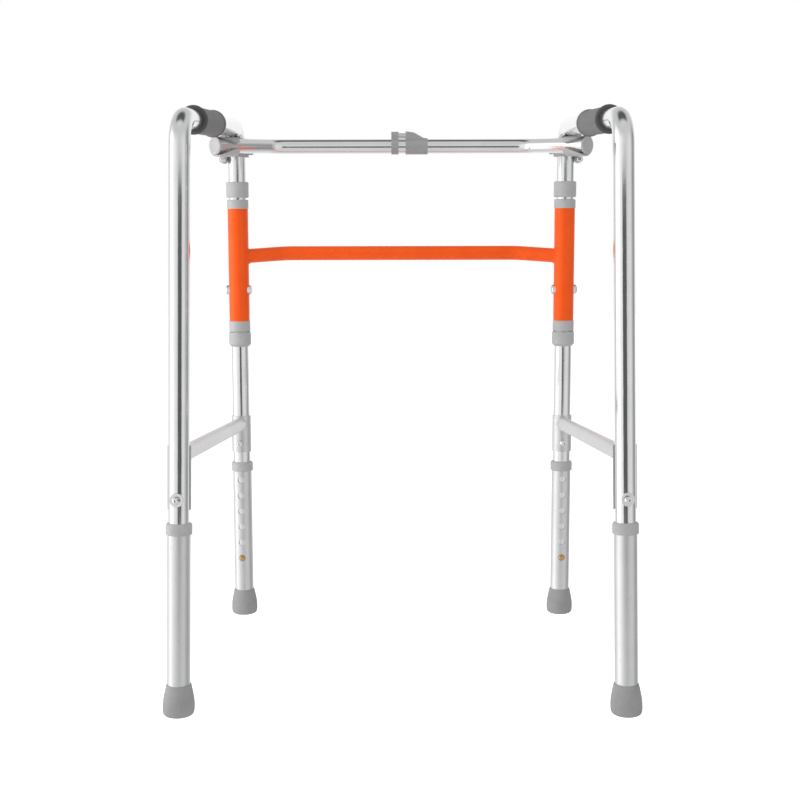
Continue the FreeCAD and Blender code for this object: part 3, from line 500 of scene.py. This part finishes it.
def makeSky():
    world = bpy.data.worlds.new("studioSky")
    world.use_nodes = True
    scene.world = world
    tree = world.node_tree
    background = tree.nodes["Background"]
    split = tree.nodes.new("ShaderNodeSeparateXYZ")
    tree.links.new(tree.nodes.new("ShaderNodeTexCoord").outputs["Generated"], split.inputs[0])
    x, y, z = (split.outputs[i] for i in range(3))
    turn = mathNode(tree, "ARCTAN2", x, mathNode(tree, "MULTIPLY", y, -1.0))
    ramp = tree.nodes.new("ShaderNodeValToRGB")  # brightness round the room, the middle of the ramp is the front
    tree.links.new(rangeNode(tree, turn, -math.pi, math.pi, 0.0, 1.0), ramp.inputs["Fac"])
    while len(ramp.color_ramp.elements) > 1:
        ramp.color_ramp.elements.remove(ramp.color_ramp.elements[-1])
    for i, (degrees, tone) in enumerate(studio["roomTones"]):
        place = (degrees + 180) / 360
        stop = ramp.color_ramp.elements[0] if i == 0 else ramp.color_ramp.elements.new(place)
        stop.position = place
        stop.color = (tone, tone, tone, 1.0)
    above = rangeNode(tree, z, 0.30, 0.62, 0.0, 1.0)
    around = mixColours(tree, above, ramp.outputs["Color"], (studio["overhead"],) * 3)
    high = rangeNode(tree, z, 0.80, 0.93, 0.0, 1.0)
    behind = rangeNode(tree, y, -0.34, -0.08, 0.0, 1.0)
    ceiling = mathNode(tree, "MULTIPLY", high, behind)
    glossy = mixColours(tree, ceiling, around, (studio["ceiling"],) * 3)
    front = mathNode(tree, "MULTIPLY", high, mathNode(tree, "SUBTRACT", 1.0, behind))
    glossy = mixColours(tree, front, glossy, (studio["front"],) * 3)
    low = rangeNode(tree, z, -0.45, -0.80, 0.0, 1.0)
    glossy = mixColours(tree, low, glossy, (studio["ground"],) * 3)
    path = tree.nodes.new("ShaderNodeLightPath")
    lit = mixColours(tree, path.outputs["Is Glossy Ray"], (studio["diffuseSky"],) * 3, glossy)
    seen = mixColours(tree, path.outputs["Is Camera Ray"], lit, (studio["backdrop"],) * 3)
    tree.links.new(seen, background.inputs["Color"])


def makeFloor():
    shape = bmesh.new()
    bmesh.ops.create_grid(shape, x_segments=8, y_segments=8, size=9.0)
    mesh = bpy.data.meshes.new("floor")
    shape.to_mesh(mesh)
    shape.free()
    floor = bpy.data.objects.new("floor", mesh)
    floor.location = (0.0, 0.0, studio["floorHeight"])
    scene.collection.objects.link(floor)
    material, tree, shader, where = startMaterial("paleFloor")
    cloud = noiseNode(tree, where, 3.0, 3.0).outputs["Fac"]
    tree.links.new(mixColours(tree, cloud, (0.93, 0.93, 0.93), (0.90, 0.90, 0.90)), shader.inputs["Base Color"])
    shader.inputs["Roughness"].default_value = 0.85
    shader.inputs["Specular IOR Level"].default_value = 0.0
    shader.inputs["Emission Color"].default_value = (1.0, 1.0, 1.0, 1.0)
    path = tree.nodes.new("ShaderNodeLightPath")  # only the camera sees the paper lit up to the backdrop
    glow = rangeNode(tree, path.outputs["Is Camera Ray"], 0.0, 1.0, 0.05, studio["paperGlow"])
    tree.links.new(glow, shader.inputs["Emission Strength"])
    mesh.materials.append(material)
    floor.visible_glossy = False


def makeCard(name, low, high, tone):  # a dark flag that only shows in the metal's reflections
    shape = bmesh.new()
    bmesh.ops.create_grid(shape, x_segments=1, y_segments=1, size=0.5)
    mesh = bpy.data.meshes.new(name)
    centre = (Vector(low) + Vector(high)) / 2
    size = Vector(high) - Vector(low)
    place = Matrix.Translation(centre) @ Matrix.Rotation(math.radians(90), 4, "X")
    shape.transform(place @ Matrix.Diagonal((size.x, size.z, 1.0, 1.0)))
    shape.to_mesh(mesh)
    shape.free()
    card = bpy.data.objects.new(name, mesh)
    scene.collection.objects.link(card)
    material = bpy.data.materials.new(name + "Cloth")
    material.use_nodes = True
    shader = material.node_tree.nodes["Principled BSDF"]
    shader.inputs["Base Color"].default_value = (0, 0, 0, 1)
    shader.inputs["Specular IOR Level"].default_value = 0.0
    shader.inputs["Emission Color"].default_value = (1, 1, 1, 1)
    shader.inputs["Emission Strength"].default_value = tone
    mesh.materials.append(material)
    card.visible_camera = card.visible_diffuse = card.visible_shadow = False
    card.visible_transmission = card.visible_volume_scatter = False


def makeLight(name, place, target, width, height, power):
    data = bpy.data.lights.new(name, "AREA")
    data.shape = "RECTANGLE"
    data.size, data.size_y, data.energy = width, height, power
    lamp = bpy.data.objects.new(name, data)
    lamp.location = place
    lamp.rotation_euler = (Vector(target) - Vector(place)).to_track_quat("-Z", "Y").to_euler()
    lamp.visible_glossy = False
    scene.collection.objects.link(lamp)


def makeCamera():
    data = bpy.data.cameras.new("camera")
    data.lens, data.sensor_width, data.clip_end = studio["lens"], studio["sensor"], studio["clipEnd"]
    camera = bpy.data.objects.new("camera", data)
    camera.matrix_world = (Matrix.Translation(studio["cameraPlace"])
                           @ Matrix.Rotation(math.pi / 2 - studio["cameraDown"], 4, "X")
                           @ Matrix.Rotation(studio["cameraRoll"], 4, "Z"))
    scene.collection.objects.link(camera)
    scene.camera = camera


makeSky()
makeFloor()
makeCard("darkCard", studio["cardLow"], studio["cardHigh"], studio["cardTone"])
for lightName, settings in studio["lights"].items():
    makeLight(lightName, *settings)
makeCamera()
print("studio set")
